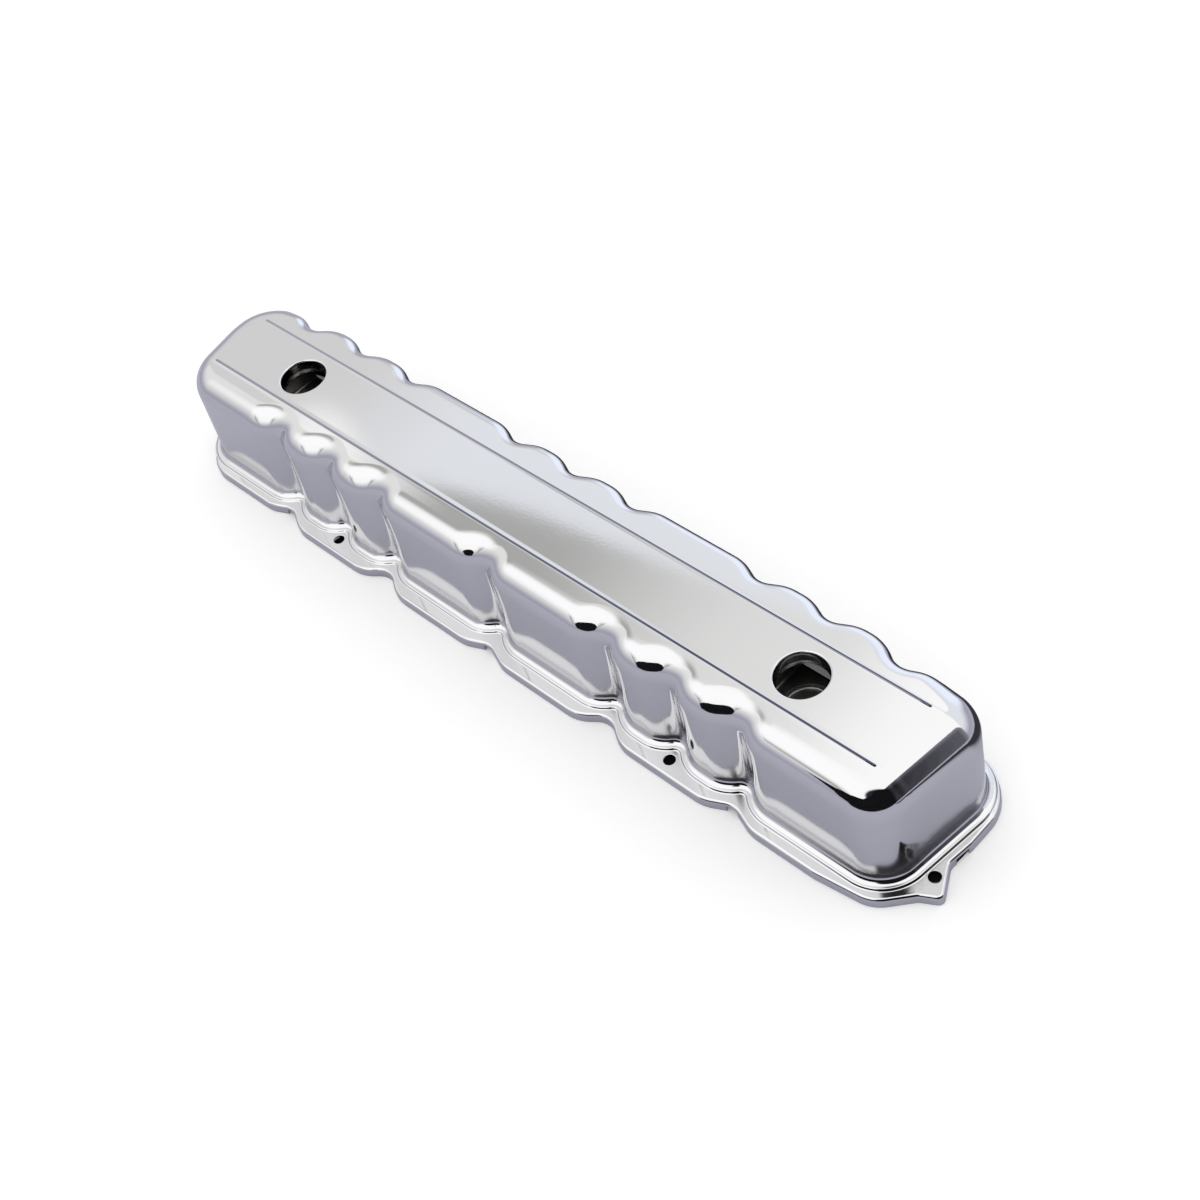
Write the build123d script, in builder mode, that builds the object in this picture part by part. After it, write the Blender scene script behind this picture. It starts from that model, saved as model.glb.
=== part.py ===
from build123d import *
from math import radians, tan
import os

os.makedirs("parts", exist_ok=True)

# The origin is on the plane of the rim's lower edge, at the middle of the whole outline.
# +X runs along the cover to its front end, +Z is up, and -Y is the side that faces the eared front corner.

# Sheet and heights
sheet = 1.0  # steel thickness
cover_height = 81.0  # rim edge to the flat top
rim_depth = 7.0  # rim edge to the flange face
shelf_rise = 1.2  # pressed step round the foot of the dome

# Plan of the dome at the flange face, between sharp corners
middle_x = -4.5  # line midway between the cap holes, about which scallops and holes are laid out
bore_pitch = 103.6  # cylinder spacing, two scallop steps
dome_half_width = 50.5
end_lobe_half_width = 45.6  # the far side draws in at both ends
front_near_x = 308.5  # the front end runs out towards the far side
front_far_x = 320.0
rear_near_x = -313.5
rear_far_x = -323.5
rear_bend_y = 5.0  # the rear end is drawn back from here to its near corner
front_near_radius = 24.0
rear_near_radius = 32.0
front_far_radius = 27.0
rear_far_radius = 33.0
rear_bend_radius = 60.0
wall_draft = 1.8  # degrees
top_edge_radius = 12.0

# Scallops of the dome, each by its number of half bore pitches from middle_x
near_scallops = (-4, -3, -2, 0, 2, 3, 4)
far_scallops = (-5, -4, -3, -1, 0, 1, 3, 4, 5)
near_scallop_depth = 10.5  # to the sharp corner, before rounding
far_scallop_depth = 9.5
scallop_half_width = 17.0
scallop_radius = 15.0
lobe_radius = 22.0

# Flange, measured at the outer face of its rim
flange_half_width = 65.0
flange_near_rear = 62.0
flange_near_front = 63.8
flange_far_ends = 51.2
flange_front_x = 326.0
flange_rear_x = -333.5
near_notches = (-4, -2, 0, 2, 4)
near_notch_depths = (7.0, 12.6, 7.0, 12.6, 7.0)
far_notches = (-5, -4, -1, 0, 1, 4, 5)
far_notch_depths = (3.0, 7.0, 12.6, 7.0, 12.6, 7.0, 3.0)
notch_half_width = 18.0
notch_radius = 12.0
taper_radius = 24.0
ear_root_radius = 6.0
front_taper = (267.5, 305.0)  # the near side closes in between these, ahead of the front corner
front_taper_end_y = -59.5
ear_tip = (335.0, -34.5)
ear_sides = ((322.5, -41.0), (323.8, -14.0))
ear_dent_end_y = 3.0  # the front edge stands back from the ear to here
ear_tip_radius = 4.0
rear_corner = (-301.5, -333.5)
rear_corner_end_y = -8.5
flange_corner_radius = 33.0
shelf_width = 2.8
rim_bend_radius = 2.0
foot_radius = 1.2

# Openings
cap_hole_x = 222.6  # each way from middle_x
cap_hole_radius = 16.0
collar_depth = 10.0
lip_radius = 1.5
bolt_hole_radius = 3.75
bolt_line_y = 55.0
bolt_number = 3  # half bore pitches from middle_x
ear_hole = (322.3, -26.0)
slot_width = 9.0
front_slot_y = -4.5
slot_numbers = (-4, 0, 4)
ear_notch_width = 2.0  # relief in the rim at the ear's tip
ear_notch_height = 2.5
ear_notch_angle = -16.0
corner_gap = (302.0, 47.5)  # narrow gap in the rim at the far front corner
corner_gap_angle = 62.0
corner_gap_width = 2.5
bolt_clearance_radius = 14.0  # shallow dimple in the front end above the ear's bolt
bolt_clearance_depth = 2.0
bolt_clearance_z = 22.0
bolt_clearance_y = -30.0

# Stiffening ribs of the top
rib_y = 23.6
rib_length = 590.0
rib_width = 3.4
rib_height = 0.8
rib_draw = 0.8  # how far each inside wall of a rib stands in, per sheet thickness

# Splash baffles under the cap holes
baffle_depth = 28.0  # from the flat top to the baffle's floor
baffle_width = 40.0
baffle_floor = 46.0
baffle_foot = 14.0
baffle_bend_radius = 2.5
dish_radius = 15.0
dish_depth = 3.0
dish_bend_radius = 1.5

half_pitch = bore_pitch / 2
near, far = -1, 1
cap_holes = ((middle_x + cap_hole_x, 0), (middle_x - cap_hole_x, 0))  # front, rear


def scalloped_side(numbers, depths, levels, half_width, side):
    # Sharp corner points along one side, rear to front, with a V at each numbered half pitch. levels are the
    # lobes' distances from the axis, and each V is cut below the lower of its two lobes.
    points = []
    for number, depth, before, after in zip(numbers, depths, levels, levels[1:]):
        x = middle_x + number * half_pitch
        points.append((x - half_width, side * before))
        points.append((x, side * (min(before, after) - depth)))
        points.append((x + half_width, side * after))
    return points


def round_corners(sketch, corners, radius):
    # Rounds each corner of the sketch that lies at one of the given points.
    found = [v for v in sketch.vertices() if any(abs(v.X - x) + abs(v.Y - y) < 0.01 for x, y in corners)]
    fillet(found, radius)


def dome_plan(height, growth):
    # Plan of the dome's foot at a height, grown outwards by growth.
    near_levels = [dome_half_width] * (len(near_scallops) + 1)
    far_levels = [end_lobe_half_width] + [dome_half_width] * (len(far_scallops) - 1) + [end_lobe_half_width]
    near_side = scalloped_side(near_scallops, [near_scallop_depth] * len(near_scallops), near_levels,
                               scallop_half_width, near)
    far_side = scalloped_side(far_scallops, [far_scallop_depth] * len(far_scallops), far_levels,
                              scallop_half_width, far)
    near_ends = [(rear_near_x, near * dome_half_width), (front_near_x, near * dome_half_width)]
    far_ends = [(front_far_x, far * end_lobe_half_width), (rear_far_x, far * end_lobe_half_width)]
    rear_bend = (rear_far_x, rear_bend_y)
    with BuildSketch(Plane.XY.offset(height)) as plan:
        with BuildLine():
            Polyline(near_ends[0], *near_side, near_ends[1], far_ends[0], *far_side[::-1], far_ends[1],
                     rear_bend, close=True)
        make_face()
        round_corners(plan, near_side[1::3] + far_side[1::3], scallop_radius)
        round_corners(plan, near_side[0::3] + near_side[2::3] + far_side[0::3] + far_side[2::3], lobe_radius)
        for corner, radius in zip(near_ends + far_ends,
                                  (rear_near_radius, front_near_radius, front_far_radius, rear_far_radius)):
            round_corners(plan, [corner], radius)
        round_corners(plan, [rear_bend], rear_bend_radius)
        if growth:
            offset(amount=growth)
    return plan.sketch


def flange_plan(height, growth):
    # Plan of the flange at a height, grown outwards by growth.
    near_levels = [flange_near_rear] + [flange_half_width] * (len(near_notches) - 1) + [flange_near_front]
    far_levels = [flange_far_ends] + [flange_half_width] * (len(far_notches) - 1) + [flange_far_ends]
    near_side = scalloped_side(near_notches, near_notch_depths, near_levels, notch_half_width, near)
    far_side = scalloped_side(far_notches, far_notch_depths, far_levels, notch_half_width, far)
    taper_start = (front_taper[0], near * flange_near_front)
    taper_end = (front_taper[1], front_taper_end_y)
    dent_end = (flange_front_x, ear_dent_end_y)
    far_ends = [(flange_front_x, far * flange_far_ends), (flange_rear_x, far * flange_far_ends)]
    rear_corners = [(rear_corner[1], rear_corner_end_y), (rear_corner[0], near * flange_near_rear)]
    with BuildSketch(Plane.XY.offset(height)) as plan:
        with BuildLine():
            Polyline(*near_side, taper_start, taper_end, ear_sides[0], ear_tip, ear_sides[1],
                     dent_end, far_ends[0],
                     *far_side[::-1], far_ends[1], *rear_corners, close=True)
        make_face()
        round_corners(plan, near_side + far_side, notch_radius)
        round_corners(plan, far_ends + rear_corners, flange_corner_radius)
        round_corners(plan, [taper_start, taper_end], taper_radius)
        round_corners(plan, [*ear_sides, dent_end], ear_root_radius)
        round_corners(plan, [ear_tip], ear_tip_radius)
        if growth:
            offset(amount=growth)
    return plan.sketch


def dome_form(inset):
    # The drafted dome, rounded over at the top, with the pressed shelf round its foot.
    low = rim_depth - inset
    high = cover_height - inset
    with BuildPart() as dome:
        add(dome_plan(low, -inset))
        extrude(amount=high - low)
        walls = dome.faces().filter_by(lambda face: abs(face.normal_at().Z) < 0.5)
        draft(walls, Plane.XY.offset(low), wall_draft)
        fillet(dome.faces().sort_by(Axis.Z)[-1].edges(), top_edge_radius - inset)
        add(dome_plan(low, shelf_width - inset))
        extrude(amount=shelf_rise)
        shelf = dome.faces().filter_by(Axis.Z).sort_by(Axis.Z)[-2]
        fillet(shelf.inner_wires()[0].edges(), foot_radius + inset)
        end_slope = (front_far_x - front_near_x) / (dome_half_width + end_lobe_half_width)
        end_x = front_near_x + end_slope * (dome_half_width + bolt_clearance_y)
        clearance_x = end_x - bolt_clearance_depth + bolt_clearance_radius
        with Locations((clearance_x, bolt_clearance_y, bolt_clearance_z)):
            Sphere(bolt_clearance_radius + inset, mode=Mode.SUBTRACT)
        with BuildSketch(Plane.XY.offset(high)):
            with Locations((middle_x, rib_y), (middle_x, -rib_y)):
                SlotOverall(rib_length, rib_width - 2 * rib_draw * inset)
        extrude(amount=rib_height)
    return dome.part


def flange_form(inset):
    # The flange and its turned-down rim as a solid plate. The inside reaches past the open bottom.
    with BuildPart() as flange:
        add(flange_plan(-inset, -inset))
        extrude(amount=rim_depth)
        fillet(flange.faces().sort_by(Axis.Z)[-1].edges(), rim_bend_radius - inset)
    return flange.part


with BuildPart() as valve_cover:
    add(flange_form(0))
    add(dome_form(0))
    add(flange_form(sheet), mode=Mode.SUBTRACT)
    add(dome_form(sheet), mode=Mode.SUBTRACT)
    # Cap holes with turned-down collars
    with BuildSketch(Plane.XY.offset(cover_height - collar_depth)):
        with Locations(*cap_holes):
            Circle(cap_hole_radius + sheet)
    extrude(amount=collar_depth)
    inside_top = cover_height - sheet
    roots = valve_cover.edges().filter_by(GeomType.CIRCLE).filter_by(
        lambda edge: abs(edge.radius - cap_hole_radius - sheet) < 0.01 and abs(edge.center().Z - inside_top) < 0.01)
    fillet(roots, lip_radius)
    with BuildSketch(Plane.XY.offset(cover_height)):
        with Locations(*cap_holes):
            Circle(cap_hole_radius)
    extrude(amount=-collar_depth, mode=Mode.SUBTRACT)
    lips = valve_cover.edges().filter_by(GeomType.CIRCLE).filter_by(
        lambda edge: abs(edge.radius - cap_hole_radius) < 0.01 and abs(edge.center().Z - cover_height) < 0.01)
    fillet(lips, lip_radius)
    # Bolt holes
    with Locations((middle_x, 0)):
        with GridLocations(2 * bolt_number * half_pitch, 2 * bolt_line_y, 2, 2):
            Cylinder(bolt_hole_radius, 4 * rim_depth, mode=Mode.SUBTRACT)
    with Locations(ear_hole):
        Cylinder(bolt_hole_radius, 4 * rim_depth, mode=Mode.SUBTRACT)
    # Slots in the rim, below its bend
    slot_height = rim_depth - rim_bend_radius
    for number in slot_numbers:
        for side in (near, far):
            with Locations((middle_x + number * half_pitch, side * flange_half_width, 0)):
                Box(slot_width, flange_half_width - dome_half_width, 2 * slot_height, mode=Mode.SUBTRACT)
    with Locations((flange_front_x, front_slot_y, 0)):
        Box(2 * slot_height, slot_width, 2 * slot_height, mode=Mode.SUBTRACT)
    with Locations(Location((*corner_gap, 0), (0, 0, corner_gap_angle))):
        Box(2 * slot_height, corner_gap_width, 2 * slot_height, mode=Mode.SUBTRACT)
    with Locations(Location((*ear_tip, 0), (0, 0, ear_notch_angle))):
        Box(2 * ear_tip_radius, ear_notch_width, 2 * ear_notch_height, mode=Mode.SUBTRACT)

valve_cover.part.label = "valve_cover"
export_step(valve_cover.part, "parts/valve_cover.step")

# Splash baffles: a bent strap with a drawn dish, its feet spot-welded up against the inside of the top
floor_top = cover_height - baffle_depth
for label, (hole_x, hole_y) in zip(("splash_baffle_front", "splash_baffle_rear"), cap_holes):
    leg_x = baffle_floor / 2
    with BuildPart() as baffle:
        with BuildLine(Plane.XZ.offset(baffle_width / 2)):
            FilletPolyline((hole_x - leg_x - baffle_foot, inside_top), (hole_x - leg_x, inside_top),
                           (hole_x - leg_x, floor_top), (hole_x + leg_x, floor_top),
                           (hole_x + leg_x, inside_top), (hole_x + leg_x + baffle_foot, inside_top),
                           radius=baffle_bend_radius)
        make_brake_formed(thickness=sheet, station_widths=baffle_width, side=Side.RIGHT)
        with Locations((hole_x, hole_y, floor_top)):
            Cylinder(dish_radius + sheet, dish_depth + sheet, align=(Align.CENTER, Align.CENTER, Align.MAX))
            Cylinder(dish_radius, dish_depth, align=(Align.CENTER, Align.CENTER, Align.MAX), mode=Mode.SUBTRACT)
        rounds = baffle.edges().filter_by(GeomType.CIRCLE).filter_by(lambda edge: edge.radius > dish_radius - 1)
        fillet(rounds.filter_by_position(Axis.Z, floor_top - dish_depth - sheet, floor_top - dish_depth - sheet),
               dish_bend_radius + sheet)
        fillet(rounds.filter_by_position(Axis.Z, floor_top - dish_depth, floor_top - dish_depth), dish_bend_radius)
    baffle.part.label = label
    export_step(baffle.part, f"parts/{label}.step")
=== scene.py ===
import bpy
import math
import numpy as np
from mathutils import Matrix, Vector
from mathutils.geometry import delaunay_2d_cdt


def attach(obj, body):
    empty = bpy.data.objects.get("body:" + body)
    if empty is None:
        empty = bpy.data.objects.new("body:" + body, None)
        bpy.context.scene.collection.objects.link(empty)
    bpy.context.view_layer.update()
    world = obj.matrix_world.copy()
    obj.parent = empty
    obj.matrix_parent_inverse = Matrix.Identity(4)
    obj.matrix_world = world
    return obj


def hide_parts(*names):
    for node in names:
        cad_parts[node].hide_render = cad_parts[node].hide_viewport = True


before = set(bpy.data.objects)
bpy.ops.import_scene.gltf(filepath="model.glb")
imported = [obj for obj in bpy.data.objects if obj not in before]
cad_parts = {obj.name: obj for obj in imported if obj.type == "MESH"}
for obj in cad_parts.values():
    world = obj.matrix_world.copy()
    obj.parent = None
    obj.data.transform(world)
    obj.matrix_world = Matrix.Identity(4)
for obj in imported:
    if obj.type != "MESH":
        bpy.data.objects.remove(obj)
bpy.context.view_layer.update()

# the cover's sizes are in millimetres; its x is measured from the line midway between the cap holes
middleX = -4.5  # that line, in the frame
halfPitch = 51.8  # valleys, notches and slots sit at whole multiples of this
near, far = -1, 1  # the long sides, as signs of y

dome = {
    "sheet": 1.0, "top": 81.0, "flange": 7.0,
    "step": 1.2, "stepRadius": 1.3, "shelf": 0.3, "footRadius": 4.2, "footRows": 5, "seam": 0.15,
    "ends": ((313.0, 324.5), (-309.0, -319.0)),  # front near and far, rear near and far
    "draftIn": 1.4, "rearBend": 5.0, "rearBendRadius": 60.0,
    "nearValleys": (-4, -3, -2, 0, 2, 3, 4), "farValleys": (-5, -4, -3, -1, 0, 1, 3, 4, 5),
    # at the foot, then at the top
    "halfWidth": (50.5, 48.9), "endLobe": (45.8, 43.6),
    "nearDepth": (12.6, 9.4), "farDepth": (11.5, 7.6), "farEndDepth": (9.0, 6.6),
    "valleyHalf": (13.5, 17.0), "valleyRadius": (10.0, 17.0), "lobeRadius": (22.0, 32.0),
    "endRadii": ((24.0, 26.0, 33.0, 32.0), (22.0, 21.0, 30.0, 33.0)),  # near front, far front, far rear, near rear
    "farDraw": 0.8,  # how far the far side stays inside the half width
    # steps along each arc, and along the straight after it
    "waveArcs": (8, 12, 8), "endArc": 22, "rearBendArc": 8,
    "nearStraights": (4, 4, 6), "frontStraights": (2, 8), "farStraights": (6, 4, 4), "rearStraights": (12, 10, 8),
}

# the rounded top edge: its radius by side, and over what distances one radius becomes another
topEdge = {
    "nearRadius": 16.0, "frontRadius": 18.5, "farRadius": 9.0,
    "frontFrom": 285.0, "frontReach": 25.0, "endFrom": 270.0, "endReach": 45.0, "farReach": 30.0,
    "ribGap": 0.9, "smoothing": 12, "wallRows": 12, "rows": 18, "seam": 0.2,
}

topFace = {
    "ribY": 23.6, "ribEnd": 292.3, "ribHalf": 1.1, "ribHeight": 0.79, "ribTurns": 7, "ribSteps": 90,
    "ribRows": (1.4, 1.1, 1.0, 0.88, 0.74, 0.6, 0.46, 0.32, 0.18, 0.05),  # in half widths from its line
    "holeX": 222.6, "holeRadius": 16.0, "holeSteps": 96,
    "lip": 1.1, "lipSeams": (0.8, 0.2, 0.0), "lipRows": 7, "collar": 10.0, "collarRows": 3, "collarTaper": 0.1,
}

flange = {
    "halfWidth": 65.0, "nearRear": 62.0, "nearFront": 63.8, "farEnds": 51.2, "notchHalf": 18.0,
    "nearNotches": (-4, -2, 0, 2, 4), "nearDepths": (7.0, 12.6, 7.0, 12.6, 7.0),
    "farNotches": (-5, -4, -1, 0, 1, 4, 5), "farDepths": (3.0, 7.0, 12.6, 7.0, 12.6, 7.0, 3.0),
    "nearRadii": (28.0, 14.0, 28.0), "farRadii": (16.0, 12.0, 16.0), "notchArc": 9, "rowLength": 3.0,
    # corners at the front with the ear, and at the rear: x, y, radius, steps
    "front": ((272.0, -63.8, 24.0, 8), (309.5, -59.5, 24.0, 10), (327.0, -41.0, 6.0, 8), (339.5, -34.5, 4.0, 10),
              (328.3, -14.0, 6.0, 8), (330.5, 3.0, 6.0, 4), (330.5, 51.2, 33.0, 24)),
    "rear": ((-329.0, 51.2, 33.0, 24), (-329.0, -8.5, 33.0, 12), (-297.0, -62.0, 33.0, 20)),
    "rimRows": (0.0, 1.6, 3.3), "slotTop": 5.0, "bend": 2.0, "bendRows": 8, "seam": 0.15,
    "slots": (-4, 0, 4), "slotHalf": 4.5, "slotSide": 40.0, "frontSlotY": -4.5, "frontSlotX": 300.0,
    "gapAt": (306.5, 49.0), "gapReach": 1.85,
    "bolts": ((155.4, 55.0), (-155.4, 55.0), (155.4, -55.0), (-155.4, -55.0), (326.8, -26.0)),  # the last in the ear
    "boltRadius": 3.75, "boltSteps": 48, "boltEdge": ((0.9, 0.0), (0.35, 0.0), (0.1, 0.03), (0.0, 0.15)),
}


def valleyCorners(numbers, depths, levels, half, side):
    # sharp corners of a scalloped side, rear to front
    points = []
    for number, depth, before, after in zip(numbers, depths, levels, levels[1:]):
        x = number * halfPitch
        points += [(x - half, side * before), (x, side * (min(before, after) - depth)), (x + half, side * after)]
    return points


def rotated(arm, turn):
    cos, sin = math.cos(turn), math.sin(turn)
    return np.array([arm[0] * cos - arm[1] * sin, arm[0] * sin + arm[1] * cos])


def roundedLoop(corners, radii, straightSteps, arcSteps):
    # closed loop through corners, each rounded by its radius
    corners = [np.array(c, float) for c in corners]
    count = len(corners)
    arcs = []
    for i, corner in enumerate(corners):
        a = corners[i - 1] - corner
        b = corners[(i + 1) % count] - corner
        a, b = a / np.linalg.norm(a), b / np.linalg.norm(b)
        half = math.acos(max(-1, min(1, float(a @ b)))) / 2
        back = radii[i] / math.tan(half)
        centre = corner + (a + b) / np.linalg.norm(a + b) * radii[i] / math.sin(half)
        start, end = corner + a * back - centre, corner + b * back - centre
        sweep = math.atan2(start[0] * end[1] - start[1] * end[0], float(start @ end))
        steps = arcSteps[i]
        arcs.append([centre + rotated(start, sweep * k / steps) for k in range(steps + 1)])
    loop = []
    for i, arc in enumerate(arcs):
        loop += arc
        nextStart = arcs[(i + 1) % count][0]
        loop += [arc[-1] + (nextStart - arc[-1]) * k / straightSteps[i] for k in range(1, straightSteps[i])]
    return np.array(loop)


def domeLoop(end):
    # the dome's plan at its foot (0) or its top (1), counter-clockwise from the rear near corner
    d = dome
    nearCount, farCount = len(d["nearValleys"]), len(d["farValleys"])
    half, lobe, valleyHalf = d["halfWidth"][end], d["endLobe"][end], d["valleyHalf"][end]
    (frontNear, frontFar), (rearNear, rearFar) = d["ends"]
    shift = d["draftIn"] * end
    nearSide = valleyCorners(d["nearValleys"], [d["nearDepth"][end]] * nearCount, [half] * (nearCount + 1),
                             valleyHalf, near)
    farDepths = [d["farEndDepth"][end], *[d["farDepth"][end]] * (farCount - 2), d["farEndDepth"][end]]
    farLevels = [lobe] + [half - d["farDraw"]] * (farCount - 1) + [lobe]
    farSide = valleyCorners(d["farValleys"], farDepths, farLevels, valleyHalf, far)[::-1]
    corners = [*nearSide, (frontNear - shift, -half), (frontFar - shift, lobe), *farSide,
               (rearFar + shift, lobe), (rearFar + shift, d["rearBend"]), (rearNear + shift, -half)]
    wave = (d["lobeRadius"][end], d["valleyRadius"][end], d["lobeRadius"][end])
    nearFront, farFront, farRear, nearRear = d["endRadii"][end]
    radii = [*wave * nearCount, nearFront, farFront, *wave * farCount, farRear, d["rearBendRadius"], nearRear]
    arcs = [*d["waveArcs"] * nearCount, d["endArc"], d["endArc"], *d["waveArcs"] * farCount,
            d["endArc"], d["rearBendArc"], d["endArc"]]
    straights = [*d["nearStraights"] * nearCount, *d["frontStraights"],
                 *d["farStraights"] * farCount, *d["rearStraights"]]
    return roundedLoop(corners, radii, straights, arcs)


def flangeLoop():
    f = flange
    nearCount, farCount = len(f["nearNotches"]), len(f["farNotches"])
    nearLevels = [f["nearRear"]] + [f["halfWidth"]] * (nearCount - 1) + [f["nearFront"]]
    farLevels = [f["farEnds"]] + [f["halfWidth"]] * (farCount - 1) + [f["farEnds"]]
    nearSide = valleyCorners(f["nearNotches"], f["nearDepths"], nearLevels, f["notchHalf"], near)
    farSide = valleyCorners(f["farNotches"], f["farDepths"], farLevels, f["notchHalf"], far)[::-1]
    corners = [*nearSide, *[corner[:2] for corner in f["front"]], *farSide, *[corner[:2] for corner in f["rear"]]]
    radii = [*f["nearRadii"] * nearCount, *[corner[2] for corner in f["front"]],
             *f["farRadii"] * farCount, *[corner[2] for corner in f["rear"]]]
    arcs = [*[f["notchArc"]] * len(nearSide), *[corner[3] for corner in f["front"]],
            *[f["notchArc"]] * len(farSide), *[corner[3] for corner in f["rear"]]]
    lengths = [math.dist(a, b) for a, b in zip(corners, corners[1:] + corners[:1])]
    return roundedLoop(corners, radii, [max(1, round(length / f["rowLength"])) for length in lengths], arcs)


def loopNormals(loop):
    # outward normals of a counter-clockwise loop
    ahead, behind = np.roll(loop, -1, 0) - loop, loop - np.roll(loop, 1, 0)
    la, lb = np.linalg.norm(ahead, axis=1, keepdims=True), np.linalg.norm(behind, axis=1, keepdims=True)
    tangent = ahead / la * lb + behind / lb * la
    tangent /= np.linalg.norm(tangent, axis=1, keepdims=True)
    return np.stack([tangent[:, 1], -tangent[:, 0]], 1)


def inside(loop, x, y):
    # even-odd test of a point in a loop
    ax, ay = loop[:, 0], loop[:, 1]
    bx, by = np.roll(ax, -1), np.roll(ay, -1)
    cross = (ay > y) != (by > y)
    return bool(np.count_nonzero(cross & (x < (bx - ax) * (y - ay) / np.where(by == ay, 1e-9, by - ay) + ax)) % 2)


def circle(x, y, radius, steps):
    turn = np.linspace(0, 2 * math.pi, steps, endpoint=False)
    return np.column_stack([x + radius * np.cos(turn), y + radius * np.sin(turn)])


def stadium(y, half):
    # closed loop round a rib, at a distance half from its line
    t = topFace
    turn = np.linspace(-math.pi / 2, math.pi / 2, t["ribTurns"])
    straight = np.linspace(-1, 1, t["ribSteps"])[1:-1] * t["ribEnd"]
    beside = np.full(len(straight), half)
    front = np.column_stack([t["ribEnd"] + half * np.cos(turn), y + half * np.sin(turn)])
    return np.vstack([front, np.column_stack([-straight, y + beside]),
                      np.column_stack([-front[:, 0], 2 * y - front[:, 1]]), np.column_stack([straight, y - beside])])


class Shell:
    # collects the sheet's outer surface; a ring is an array of vertex numbers
    def __init__(self):
        self.points, self.faces = [], []

    def ring(self, plan, z):
        start = sum(len(part) for part in self.points)
        z = np.broadcast_to(np.asarray(z, float), (len(plan),))
        self.points.append(np.column_stack([plan, z]))
        return np.arange(start, start + len(plan))

    def plan(self, ring):
        return np.vstack(self.points)[ring][:, :2]

    def bands(self, rings, skip=None):
        # joins each ring to the next, apart from the steps to skip
        for low, high in zip(rings, rings[1:]):
            nextLow, nextHigh = np.roll(low, -1), np.roll(high, -1)
            for i in range(len(low)):
                if skip is None or not skip[i]:
                    self.faces.append((low[i], nextLow[i], nextHigh[i], high[i]))

    def fill(self, outer, holes, z):
        # flat face at one height, inside the outer ring and outside the others
        index, edges = [], []
        for ring in (outer, *holes):
            base = len(index)
            index += list(ring)
            edges += [(base + k, base + (k + 1) % len(ring)) for k in range(len(ring))]
        outerPlan, holePlans = self.plan(outer), [self.plan(hole) for hole in holes]
        verts = [Vector(place) for place in self.plan(index)]
        out, _, tris, origin, _, _ = delaunay_2d_cdt(verts, edges, [], 0, 1e-6, True)
        names = []
        for k, vertex in enumerate(out):
            if origin[k]:
                names.append(index[origin[k][0]])
            else:
                names.append(int(self.ring(np.array([[vertex.x, vertex.y]]), z)[0]))
        for a, b, c in tris:
            x, y = (out[a] + out[b] + out[c]) / 3
            if inside(outerPlan, x, y) and not any(inside(hole, x, y) for hole in holePlans):
                self.faces.append((names[a], names[b], names[c]))


def edgeRadius(plan):
    # radius of the top edge all round: wide at the front, narrow on the far side, clear of the ribs
    e, t = topEdge, topFace
    x, y = plan[:, 0], plan[:, 1]
    toFront = np.clip((x - e["frontFrom"]) / e["frontReach"], 0, 1)
    toEnd = np.clip((abs(x) - e["endFrom"]) / e["endReach"], 0, 1)
    toFar = np.clip(y / e["farReach"], 0, 1) * (1 - toEnd * toEnd * (3 - 2 * toEnd))
    radius = e["nearRadius"] + (e["frontRadius"] - e["nearRadius"]) * toFront
    radius = radius + (e["farRadius"] - radius) * toFar
    toRib = np.hypot(np.maximum(abs(x) - t["ribEnd"], 0), np.maximum(abs(y) - t["ribY"], 0))
    radius = np.minimum(radius, toRib - t["ribHalf"] - e["ribGap"])
    for _ in range(e["smoothing"]):
        radius = np.minimum(radius, (np.roll(radius, 1) + 2 * radius + np.roll(radius, -1)) / 4)
    return radius


def addWall(shell):
    # everything between the flange and the flat top; gives its lowest and its highest ring
    d, e = dome, topEdge
    foot, top = domeLoop(0), domeLoop(1)
    normal, topNormal = loopNormals(foot), loopNormals(top)
    rise = d["top"] - d["flange"]
    # shelf step and foot fillet, from the flange inwards
    shelfZ = d["flange"] + d["step"]
    stepTurn = math.acos(1 - d["step"] / (2 * d["stepRadius"]))
    edge = d["footRadius"] + d["shelf"]
    toe = edge + 2 * d["stepRadius"] * math.sin(stepTurn)
    rows, radius = d["footRows"], d["stepRadius"]
    profile = [(toe + d["seam"], d["flange"]), (toe, d["flange"])]
    for k in range(1, rows + 1):
        turn = stepTurn * k / rows
        profile.append((toe - radius * math.sin(turn), d["flange"] + radius * (1 - math.cos(turn))))
    for k in range(rows - 1, -1, -1):
        turn = stepTurn * k / rows
        profile.append((edge + radius * math.sin(turn), shelfZ - radius * (1 - math.cos(turn))))
    for k in range(rows + 1):
        turn = math.pi / 2 * (1 - k / rows)
        profile.append((d["footRadius"] * (1 - math.cos(turn)), shelfZ + d["footRadius"] * (1 - math.sin(turn))))
    rings = [shell.ring(foot + normal * out, z) for out, z in profile]
    # wall, from the fillet's top to the start of the rounded edge
    draft = np.arctan(np.einsum("ij,ij->i", foot - top, topNormal) / rise)
    radius = edgeRadius(top)
    lowZ, highZ = profile[-1][1], d["top"] - radius + radius * np.sin(draft)
    for k in range(1, e["wallRows"] + 1):
        z = lowZ + (highZ - lowZ) * (k / e["wallRows"])
        share = ((z - d["flange"]) / rise)[:, None]
        rings.append(shell.ring(foot * (1 - share) + top * share, z))
    # rounded top edge
    centre = top + topNormal * (radius * np.tan(draft) - radius / np.cos(draft))[:, None]
    for k in range(1, e["rows"] + 1):
        turn = draft + (math.pi / 2 - draft) * k / e["rows"]
        rings.append(shell.ring(centre + topNormal * (radius * np.cos(turn))[:, None],
                                d["top"] - radius + radius * np.sin(turn)))
    rings.append(shell.ring(centre - topNormal * e["seam"], d["top"]))
    shell.bands(rings)
    return rings[0], rings[-1]


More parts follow.
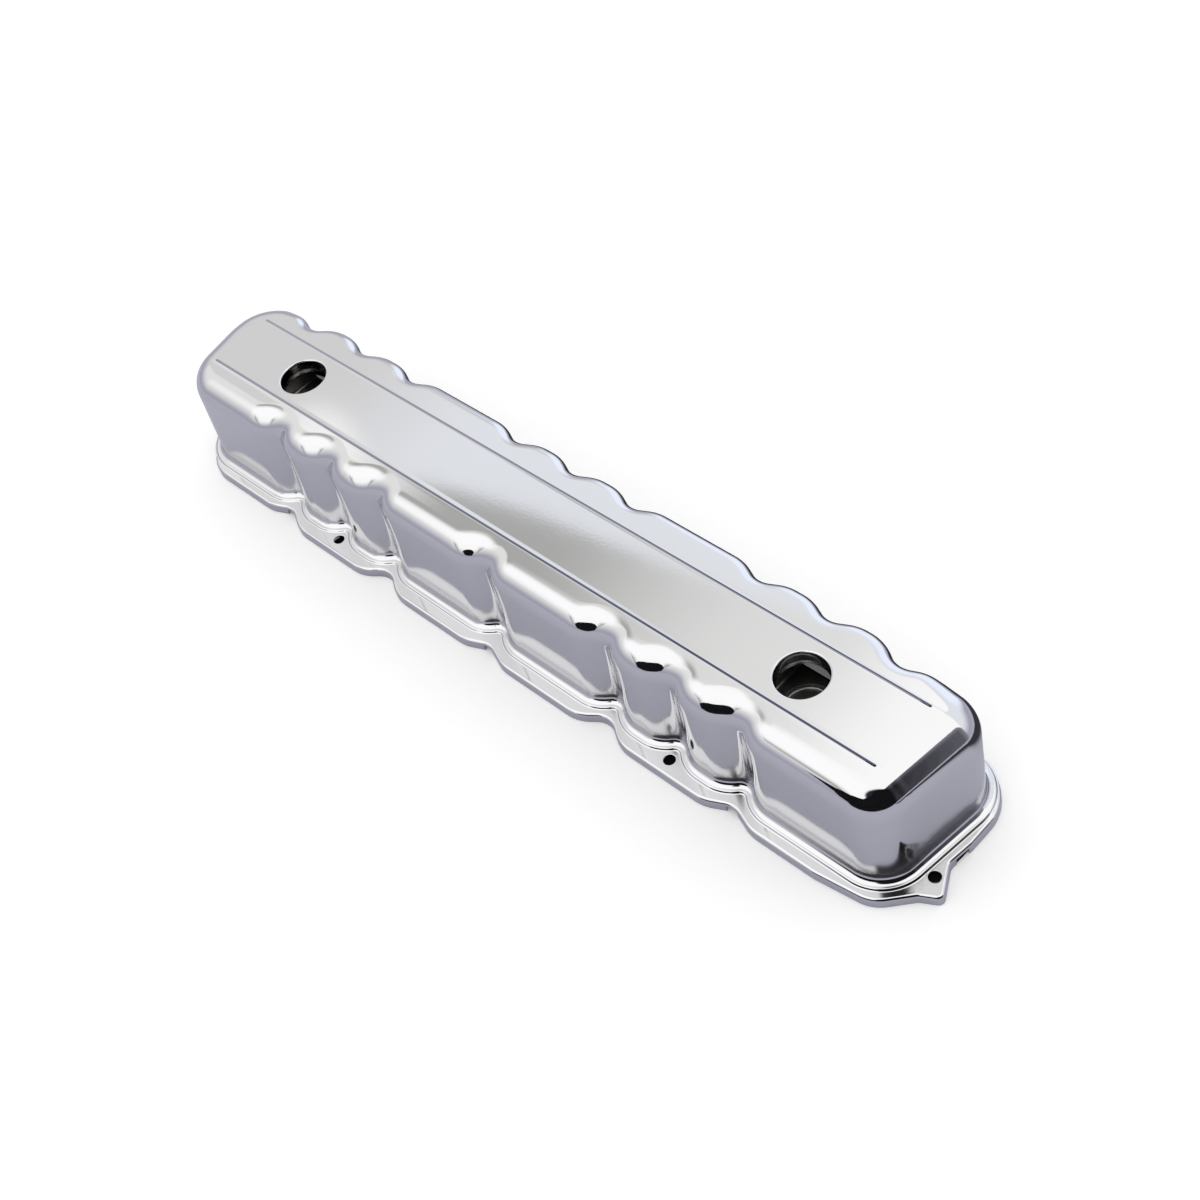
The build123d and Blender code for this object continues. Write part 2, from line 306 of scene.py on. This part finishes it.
def addTop(shell, outer):
    # flat top with its two cap holes, and close rows along each rib's line, which the press then raises
    t, z = topFace, dome["top"]
    lip, edge, steps = t["lip"], t["holeRadius"] + t["lip"], t["holeSteps"]
    holes = []
    for x in (-t["holeX"], t["holeX"]):
        rings = [shell.ring(circle(x, 0, edge + out, steps), z) for out in t["lipSeams"]]
        for k in range(1, t["lipRows"] + 1):
            turn = math.pi / 2 * (1 - k / t["lipRows"])
            rings.append(shell.ring(circle(x, 0, edge - lip * math.cos(turn), steps), z - lip * (1 - math.sin(turn))))
        for k in range(1, t["collarRows"] + 1):
            low = z - lip - (t["collar"] - lip) * k / t["collarRows"]
            rings.append(shell.ring(circle(x, 0, t["holeRadius"] - t["collarTaper"] * k, steps), low))
        shell.bands(rings)
        holes.append(rings[0])
    for y in (-t["ribY"], t["ribY"]):
        rings = [shell.ring(stadium(y, t["ribHalf"] * share), z) for share in t["ribRows"]]
        shell.bands(rings)
        shell.faces.append(tuple(rings[-1]))
        holes.append(rings[0])
    shell.fill(outer, holes, z)


def addFlange(shell, inner):
    # turned-down rim with its slots, the bend over it, and the flat flange with its bolt holes
    d, f = dome, flange
    outline = flangeLoop()
    normal = loopNormals(outline)
    rim = [shell.ring(outline, z) for z in (*f["rimRows"], f["slotTop"])]
    bend = [rim[-1]]
    for k in range(1, f["bendRows"] + 1):
        turn = math.pi / 2 * k / f["bendRows"]
        bend.append(shell.ring(outline - normal * f["bend"] * (1 - math.cos(turn)),
                               f["slotTop"] + f["bend"] * math.sin(turn)))
    bend.append(shell.ring(outline - normal * (f["bend"] + f["seam"]), d["flange"]))
    middle = (outline + np.roll(outline, -1, 0)) / 2
    x, y = middle[:, 0], middle[:, 1]
    slotted = np.linalg.norm(middle - f["gapAt"], axis=1) < f["gapReach"]
    slotted |= (abs(y - f["frontSlotY"]) < f["slotHalf"]) & (x > f["frontSlotX"])
    for number in f["slots"]:
        slotted |= (abs(x - number * halfPitch) < f["slotHalf"]) & (abs(y) > f["slotSide"])
    shell.bands(rim, slotted)
    shell.bands(bend)
    holes = [inner]
    for boltX, boltY in f["bolts"]:
        rings = [shell.ring(circle(boltX, boltY, f["boltRadius"] + out, f["boltSteps"]), d["flange"] - drop)
                 for out, drop in f["boltEdge"]]
        shell.bands(rings)
        holes.append(rings[0])
    shell.fill(bend[-1], holes, d["flange"])


def buildCover():
    shell = Shell()
    outerFoot, innerTop = addWall(shell)
    addTop(shell, innerTop)
    addFlange(shell, outerFoot)
    points = (np.vstack(shell.points) + [middleX, 0, 0]) / 1000
    mesh = bpy.data.meshes.new("coverShell")
    mesh.from_pydata(points.tolist(), [], [tuple(int(i) for i in face) for face in shell.faces])
    mesh.validate()
    for polygon in mesh.polygons:
        polygon.use_smooth = True
    cover = bpy.data.objects.new("coverShell", mesh)
    bpy.context.scene.collection.objects.link(cover)
    return cover


cover = buildCover()
print("cover surface", len(cover.data.polygons), "faces")


class Web:
    # adds nodes to a tree; a value is a number, a colour, a place or another node's output
    def __init__(self, tree):
        self.nodes, self.links = tree.nodes, tree.links

    def put(self, value, socket):
        if isinstance(value, bpy.types.NodeSocket):
            self.links.new(value, socket)
        elif isinstance(value, tuple) and socket.type == "RGBA":
            socket.default_value = (*value, 1)
        elif value is not None:
            socket.default_value = value

    def add(self, kind, values=None, **settings):
        node = self.nodes.new(kind)
        for name, setting in settings.items():
            setattr(node, name, setting)
        for name, value in (values or {}).items():
            self.put(value, node.inputs[name])
        return node

    def maths(self, operation, a, b=None):
        return self.add("ShaderNodeMath", {0: a, 1: b}, operation=operation).outputs[0]

    def length(self, a, b):
        return self.maths("SQRT", self.maths("ADD", self.maths("MULTIPLY", a, a), self.maths("MULTIPLY", b, b)))

    def ramp(self, value, low, high, to=(0.0, 1.0), kind="SMOOTHSTEP"):
        values = {"Value": value, "From Min": low, "From Max": high, "To Min": to[0], "To Max": to[1]}
        return self.add("ShaderNodeMapRange", values, interpolation_type=kind).outputs["Result"]

    def blend(self, share, under, over):
        # colour sockets of a mix node are its inputs 6 and 7 and its output 2
        return self.add("ShaderNodeMix", {"Factor": share, 6: under, 7: over}, data_type="RGBA").outputs[2]

    def noise(self, place, scale, detail):
        return self.add("ShaderNodeTexNoise", {"Vector": place, "Scale": scale, "Detail": detail}).outputs["Fac"]

    def bump(self, height, distance, normal=None):
        return self.add("ShaderNodeBump", {"Height": height, "Distance": distance, "Normal": normal})


# a rib's level crest as a share of its half width, the slope that ends at the half width, and a margin in metres
press = {"crest": 0.3, "slope": 1.43, "levelWithin": 0.00001}


def makePress():
    # node group that raises the two ribs out of the flat top
    group = bpy.data.node_groups.new("pressRibs", "GeometryNodeTree")
    sockets = {}
    for way in ("OUTPUT", "INPUT"):
        group.interface.new_socket(name="Geometry", in_out=way, socket_type="NodeSocketGeometry")
    for name in ("Middle", "Offset", "End", "Half Width", "Height", "Top", "Material"):
        kind = "NodeSocketMaterial" if name == "Material" else "NodeSocketFloat"
        sockets[name] = group.interface.new_socket(name=name, in_out="INPUT", socket_type=kind).identifier
    web = Web(group)
    maths = web.maths
    given = web.add("NodeGroupInput").outputs
    place = web.add("ShaderNodeSeparateXYZ", {0: web.add("GeometryNodeInputPosition").outputs[0]}).outputs
    along = maths("ABSOLUTE", maths("SUBTRACT", place["X"], given["Middle"]))
    past = maths("MAXIMUM", maths("SUBTRACT", along, given["End"]), 0)
    across = maths("SUBTRACT", maths("ABSOLUTE", place["Y"]), given["Offset"])
    # half a cosine on each side of a narrow crest, level again at the half width
    away = maths("DIVIDE", web.length(past, across), given["Half Width"])
    share = maths("MULTIPLY", maths("SUBTRACT", away, press["crest"]), press["slope"])
    share = maths("MINIMUM", maths("MAXIMUM", share, 0), 1)
    hump = maths("MULTIPLY", maths("ADD", maths("COSINE", maths("MULTIPLY", share, math.pi)), 1), 0.5)
    raised = web.add("ShaderNodeCombineXYZ", {"Z": maths("MULTIPLY", hump, given["Height"])})
    fromTop = maths("ABSOLUTE", maths("SUBTRACT", place["Z"], given["Top"]))
    level = maths("LESS_THAN", fromTop, press["levelWithin"])
    move = web.add("GeometryNodeSetPosition",
                   {"Geometry": given["Geometry"], "Selection": level, "Offset": raised.outputs[0]})
    real = web.add("GeometryNodeRealizeInstances", {0: move.outputs[0]})
    paint = web.add("GeometryNodeSetMaterial", {"Geometry": real.outputs[0], "Material": given["Material"]})
    web.add("NodeGroupOutput", {0: paint.outputs[0]})
    return group, sockets


def newMaterial(name):
    material = bpy.data.materials.new(name)
    material.use_nodes = True
    return material, Web(material.node_tree), material.node_tree.nodes["Principled BSDF"]


# heights and places on the sheet are in millimetres, fades along x, y or z in metres
chrome = {
    "colour": (0.665, 0.665, 0.675), "roughness": 0.045, "roughnessSpread": (0.7, 1.5),
    "hazeScale": 40.0, "hazeDetail": 6.0, "footRoughness": 0.19, "footFade": (0.050, 0.012), "wallFrom": 0.0105,
    "peelScale": 420.0, "peelDetail": 3.0, "peelHeight": 0.03, "peelStrength": (0.12, 1.0),
    "waveScale": 9.0, "waveDetail": 0.0, "waveHeight": 0.25,
    "shoulders": ((-23.6, 3.8, 0.05), (23.6, 2.4, 0.025)),  # place, reach, height
    # painted dark reflection on the ribs' crests: its colours, grey at the rear turning dark towards the front
    "crestPaintedDark": (0.07, 0.08, 0.12), "crestPaintedGrey": (0.34, 0.35, 0.40), "ribForward": (-0.25, 0.15),
    "crestFade": (0.0008, 0.0004), "crestShift": 0.0001, "crestAbove": 0.05,
    "satin": (((322, -26, 7), 34), ((318, 22, 76), 22), ((322, 20, 7), 26)),  # place and reach
}


def makeChrome():
    c = chrome
    material, web, shader = newMaterial("coverChrome")
    maths = web.maths
    shader.inputs["Metallic"].default_value = 1.0
    source = web.add("ShaderNodeTexCoord").outputs["Object"]
    place = web.add("ShaderNodeSeparateXYZ", {0: source}).outputs
    peel = web.noise(source, c["peelScale"], c["peelDetail"])
    wave = web.noise(source, c["waveScale"], c["waveDetail"])
    haze = web.noise(source, c["hazeScale"], c["hazeDetail"])
    rough = web.ramp(haze, 0.0, 1.0, [c["roughness"] * share for share in c["roughnessSpread"]], "LINEAR")
    # the polish is duller low on the walls
    low = web.ramp(place["Z"], *c["footFade"], (0.0, c["footRoughness"] - c["roughness"]))
    dull = maths("MULTIPLY", low, maths("GREATER_THAN", place["Z"], c["wallFrom"]))
    web.put(maths("ADD", rough, dull), shader.inputs["Roughness"])
    # painted dark reflection: the base colour is darkened along the narrow crests of the ribs, most of all towards
    # the front
    crest = maths("SUBTRACT", maths("ABSOLUTE", place["Y"]), topFace["ribY"] / 1000)
    line = web.ramp(maths("ABSOLUTE", maths("SUBTRACT", crest, c["crestShift"])), *c["crestFade"])
    above = maths("GREATER_THAN", place["Z"], (dome["top"] + c["crestAbove"]) / 1000)
    crestPaintedShade = web.blend(web.ramp(place["X"], *c["ribForward"], kind="LINEAR"), c["crestPaintedGrey"], c["crestPaintedDark"])
    web.put(web.blend(maths("MULTIPLY", line, above), c["colour"], crestPaintedShade), shader.inputs["Base Color"])
    # soft swellings of the sheet beside the ribs
    swell = 0.0
    for centre, reach, height in c["shoulders"]:
        share = maths("DIVIDE", maths("ABSOLUTE", maths("SUBTRACT", place["Y"], centre / 1000)), reach / 1000)
        hump = maths("ADD", maths("COSINE", maths("MULTIPLY", maths("MINIMUM", share, 1), math.pi)), 1)
        swell = maths("ADD", swell, maths("MULTIPLY", hump, height / 2000))
    # the plating is coarser over the ear and the front corners
    coarse = 0.0
    for centre, reach in c["satin"]:
        spot = tuple((Vector(centre) + Vector((middleX, 0, 0))) / 1000)
        away = web.add("ShaderNodeVectorMath", {0: source, 1: spot}, operation="DISTANCE").outputs["Value"]
        coarse = maths("MAXIMUM", coarse, web.ramp(away, reach / 1000, reach / 3000))
    soft = web.bump(swell, 1.0)
    broad = web.bump(wave, c["waveHeight"] / 1000, soft.outputs["Normal"])
    fine = web.bump(peel, c["peelHeight"] / 1000, broad.outputs["Normal"])
    web.put(web.ramp(coarse, 0.0, 1.0, c["peelStrength"], "LINEAR"), fine.inputs["Strength"])
    web.put(fine.outputs["Normal"], shader.inputs["Normal"])
    return material


group, sockets = makePress()
pressing = cover.modifiers.new("press", "NODES")
pressing.node_group = group
for name, value in (("Middle", middleX), ("Offset", topFace["ribY"]), ("End", topFace["ribEnd"]),
                    ("Half Width", topFace["ribHalf"]), ("Height", topFace["ribHeight"]), ("Top", dome["top"])):
    pressing[sockets[name]] = value / 1000
pressing[sockets["Material"]] = makeChrome()
thickening = cover.modifiers.new("sheet", "SOLIDIFY")
thickening.thickness = dome["sheet"] / 1000
thickening.offset = -1
thickening.use_even_offset = False


def applyModifiers(piece):
    bpy.context.view_layer.update()
    done = bpy.data.meshes.new_from_object(piece.evaluated_get(bpy.context.evaluated_depsgraph_get()))
    piece.modifiers.clear()
    piece.data = done
    done.name = piece.name


applyModifiers(cover)
print("cover sheet", len(cover.data.polygons), "faces")
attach(cover, "root")
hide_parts("valve_cover")

baffle = {"dark": (0.22, 0.21, 0.20, 1), "light": (0.44, 0.43, 0.42, 1), "roughness": (0.25, 0.47),
          "mottleScale": 55.0, "mottleDetail": 8.0}


def makeBaffle():
    material, web, shader = newMaterial("baffleSteel")
    shader.inputs["Metallic"].default_value = 1.0
    mottle = web.noise(web.add("ShaderNodeTexCoord").outputs["Object"], baffle["mottleScale"], baffle["mottleDetail"])
    tint = web.add("ShaderNodeValToRGB", {"Fac": mottle})
    for element, name in zip(tint.color_ramp.elements, ("dark", "light")):
        element.color = baffle[name]
    web.put(tint.outputs["Color"], shader.inputs["Base Color"])
    web.put(web.ramp(mottle, 0.0, 1.0, baffle["roughness"], "LINEAR"), shader.inputs["Roughness"])
    return material


baffleMaterial = makeBaffle()
for name in ("splash_baffle_front", "splash_baffle_rear"):
    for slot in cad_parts[name].material_slots:
        slot.material = baffleMaterial
print("materials done")


def makeSheet(name, corners):
    mesh = bpy.data.meshes.new(name)
    mesh.from_pydata(corners, [], [tuple(range(len(corners)))])
    piece = bpy.data.objects.new(name, mesh)
    bpy.context.scene.collection.objects.link(piece)
    return piece


# cards that only the chrome sees, on the planes y = nearY and x = frontX, in metres
flags = {
    "nearY": -0.652, "frontX": 0.895, "shade": 0.008,
    "near": ((-0.06, 0.30), (0.03, 0.14), (0.20, 0.09), (0.895, 0.09),
             (0.895, 1.4), (0.45, 0.64), (0.1, 0.52), (0.0, 0.44)),
    "front": ((-0.652, 0.09), (0.02, 0.09), (0.06, 0.35), (0.14, 0.70), (0.08, 1.1), (-0.2, 1.9), (-0.652, 1.9)),
    "blue": 1.2, "strips": 16, "stripWidth": 0.026, "stripShade": (0.01, 0.40), "stripPower": 1.4,
}


def makeFlag(name, corners, shade):
    flag = makeSheet(name, corners)
    material, web, shader = newMaterial(name)
    web.nodes.remove(shader)
    card = web.add("ShaderNodeEmission", {"Color": (shade, shade, shade * flags["blue"])})
    web.put(card.outputs["Emission"], web.nodes["Material Output"].inputs["Surface"])
    flag.data.materials.append(material)
    flag.visible_camera = flag.visible_diffuse = flag.visible_shadow = flag.visible_transmission = False


makeFlag("flagNear", [(x, flags["nearY"], z) for x, z in flags["near"]], flags["shade"])
makeFlag("flagFront", [(flags["frontX"], y, z) for y, z in flags["front"]], flags["shade"])
# the front card fades out towards the far side in strips
for k in range(flags["strips"]):
    edge = flags["front"][1:5]
    begin, stop = flags["stripWidth"] * k, flags["stripWidth"] * (k + 1)
    outline = [(y + begin, z) for y, z in edge] + [(y + stop, z) for y, z in edge[::-1]]
    darkest, lighter = flags["stripShade"]
    shade = darkest + lighter * ((k + 1) / flags["strips"]) ** flags["stripPower"]
    makeFlag("flagStrip" + str(k), [(flags["frontX"], y, z) for y, z in outline], shade)

# the floor: white paper to the camera, a bench to the chrome; in metres, each fade from its first value to its second
bench = {
    "half": 6.0, "paper": (1.0, 1.0, 1.0), "glow": (0.11, 0.11, 0.11),
    "seen": (0.57, 0.57, 0.66), "strip": (0.05, 0.05, 0.06),
    "stripNear": (0.055, 0.12), "stripFar": (0.45, 0.30), "stripRear": (-0.50, -0.22),
    # painted shadow: the dark colour under the closed cover, the patch it fills, and the discs under the bolt holes
    # and the ear hole
    "under": (0.02, 0.02, 0.02), "shadeHalfX": 0.290, "shadeEnd": 0.034, "shadeMiddleY": -0.001, "shadeHalfY": 0.0495,
    "boltX": 0.1554, "boltY": 0.0540, "ear": (0.3194, -0.0229), "earLess": 0.0015, "disc": 0.0085,
}


def makeFloor():
    b, s = bench, bench["half"]
    floor = makeSheet("floor", [(-s, -s, 0), (s, -s, 0), (s, s, 0), (-s, s, 0)])
    material, web, shader = newMaterial("floorWhite")
    web.nodes.remove(shader)
    maths = web.maths
    rays = web.add("ShaderNodeLightPath").outputs
    place = web.add("ShaderNodeSeparateXYZ", {0: web.add("ShaderNodeTexCoord").outputs["Object"]}).outputs
    x, y = place["X"], place["Y"]
    # the bench is darker behind the cover, which only the chrome shows
    strip = maths("MULTIPLY", web.ramp(y, *b["stripNear"]), web.ramp(x, *b["stripRear"]))
    strip = maths("MULTIPLY", strip, web.ramp(y, *b["stripFar"]))
    colour = web.blend(rays["Is Glossy Ray"], b["paper"], web.blend(strip, b["seen"], b["strip"]))
    # painted shadow: the floor is dark under the closed cover, where no light reaches, and under its bolt holes and
    # ear hole
    past = maths("MAXIMUM", maths("SUBTRACT", maths("ABSOLUTE", x), b["shadeHalfX"]), 0)
    beside = maths("DIVIDE", maths("SUBTRACT", y, b["shadeMiddleY"]), b["shadeHalfY"])
    toShade = web.length(maths("DIVIDE", past, b["shadeEnd"]), beside)
    boltX = maths("SUBTRACT", maths("ABSOLUTE", maths("SUBTRACT", x, middleX / 1000)), b["boltX"])
    toBolt = web.length(boltX, maths("SUBTRACT", maths("ABSOLUTE", y), b["boltY"]))
    toEar = web.length(maths("SUBTRACT", x, b["ear"][0]), maths("SUBTRACT", y, b["ear"][1]))
    toHole = maths("DIVIDE", maths("MINIMUM", toBolt, maths("ADD", toEar, b["earLess"])), b["disc"])
    outside = maths("GREATER_THAN", maths("MINIMUM", toShade, toHole), 1.0)
    paper = web.add("ShaderNodeBsdfDiffuse", {"Color": web.blend(outside, b["under"], colour)})
    # seen directly, the paper is a little lighter, so that only the shadow beside the cover shows
    strength = maths("MULTIPLY", rays["Is Camera Ray"], outside)
    glow = web.add("ShaderNodeEmission", {"Color": b["glow"], "Strength": strength})
    both = web.add("ShaderNodeAddShader", {0: paper.outputs["BSDF"], 1: glow.outputs["Emission"]})
    web.put(both.outputs["Shader"], web.nodes["Material Output"].inputs["Surface"])
    floor.data.materials.append(material)


makeFloor()
print("floor and cards done")

# what the chrome reflects: a grey card overhead, on a plane where a ray's slopes give its place, and sky beyond it
sky = {
    "lowest": 0.05, "edgeSlope": 0.2, "edge": (0.683, 0.676), "dimming": (-0.95, -1.12),
    "light": (1.09, 1.12, 1.17), "dim": (0.93, 0.92, 0.91), "card": (0.57, 0.565, 0.55),
    # steps along the card: where each begins and is full, and its colour
    "steps": ((-0.84, -0.62, (1.07, 1.06, 1.04)), (-0.60, -0.49, (1.42, 1.41, 1.39)),
              (-0.91, -0.99, (1.10, 1.09, 1.07))),
    "haze": (0.50, 0.50, 0.60), "hazeFrom": 36, "hazeFull": 5, "white": (1.0, 1.0, 1.0),
}
# soft-edged round panels: azimuth and elevation of the middle, the angles from it where one is full and gone, colour
panels = {
    "nearRear": (222, 58, 14, 31, (1.45, 1.45, 1.45)), "farSide": (110, 18, 13, 27, (1.20, 1.28, 1.45)),
    "spark": (156.5, 41, 0.3, 1.8, (1.35, 1.34, 1.32)), "darkRoom": (-36, 54, 17, 24.5, (0.03, 0.026, 0.05)),
}


def addPanel(web, ray, name, under):
    azimuth, elevation, inner, outer, colour = panels[name]
    a, e = math.radians(azimuth), math.radians(elevation)
    toward = (math.cos(a) * math.cos(e), math.sin(a) * math.cos(e), math.sin(e))
    dot = web.add("ShaderNodeVectorMath", {0: ray, 1: toward}, operation="DOT_PRODUCT").outputs["Value"]
    fade = web.ramp(dot, math.cos(math.radians(outer)), math.cos(math.radians(inner)))
    return web.blend(fade, under, colour)


def makeWorld():
    # white for the paper's light, and the studio for glossy rays alone
    s = sky
    world = bpy.data.worlds.new("studio")
    bpy.context.scene.world = world
    world.use_nodes = True
    web = Web(world.node_tree)
    maths = web.maths
    ray = web.add("ShaderNodeTexCoord").outputs["Generated"]
    split = web.add("ShaderNodeSeparateXYZ", {0: ray}).outputs
    up = maths("MAXIMUM", split["Z"], s["lowest"])
    slopeX, slopeY = maths("DIVIDE", split["X"], up), maths("DIVIDE", split["Y"], up)
    card = web.ramp(maths("SUBTRACT", slopeY, maths("MULTIPLY", slopeX, s["edgeSlope"])), *s["edge"])
    beyond = web.blend(web.ramp(slopeX, *s["dimming"]), s["light"], s["dim"])
    # the card brightens towards the front and fades out towards the rear
    shade = s["card"]
    for begin, full, tint in s["steps"]:
        shade = web.blend(web.ramp(slopeX, begin, full), shade, tint)
    colour = web.blend(card, beyond, shade)
    for name in ("nearRear", "farSide", "spark"):
        colour = addPanel(web, ray, name, colour)
    height = [math.sin(math.radians(s[k])) for k in ("hazeFrom", "hazeFull")]
    colour = web.blend(web.ramp(split["Z"], *height), colour, s["haze"])
    # the far panel also shines through the haze
    for name in ("farSide", "darkRoom"):
        colour = addPanel(web, ray, name, colour)
    glossy = web.add("ShaderNodeLightPath").outputs["Is Glossy Ray"]
    web.put(web.blend(glossy, s["white"], colour), web.nodes["Background"].inputs["Color"])


makeWorld()

view = {
    "place": (0.69452, -0.41399, 0.89158), "right": (0.704321, 0.680200, -0.203124),
    "down": (0.435243, -0.639824, -0.633395), "ahead": (-0.560799, 0.357705, -0.746694),
    "lens": 55.7745, "sensor": 36.0, "nearest": 0.05,
}
camera = bpy.data.objects.new("camera", bpy.data.cameras.new("camera"))
bpy.context.scene.collection.objects.link(camera)
camera.data.lens = view["lens"]
camera.data.sensor_width = view["sensor"]
camera.data.clip_start = view["nearest"]
right, down, ahead = (Vector(view[k]) for k in ("right", "down", "ahead"))
turn = Matrix((right, -down, -ahead)).transposed()
camera.matrix_world = Matrix.Translation(Vector(view["place"])) @ turn.to_4x4()
bpy.context.scene.camera = camera
bpy.context.scene.view_settings.view_transform = "Standard"
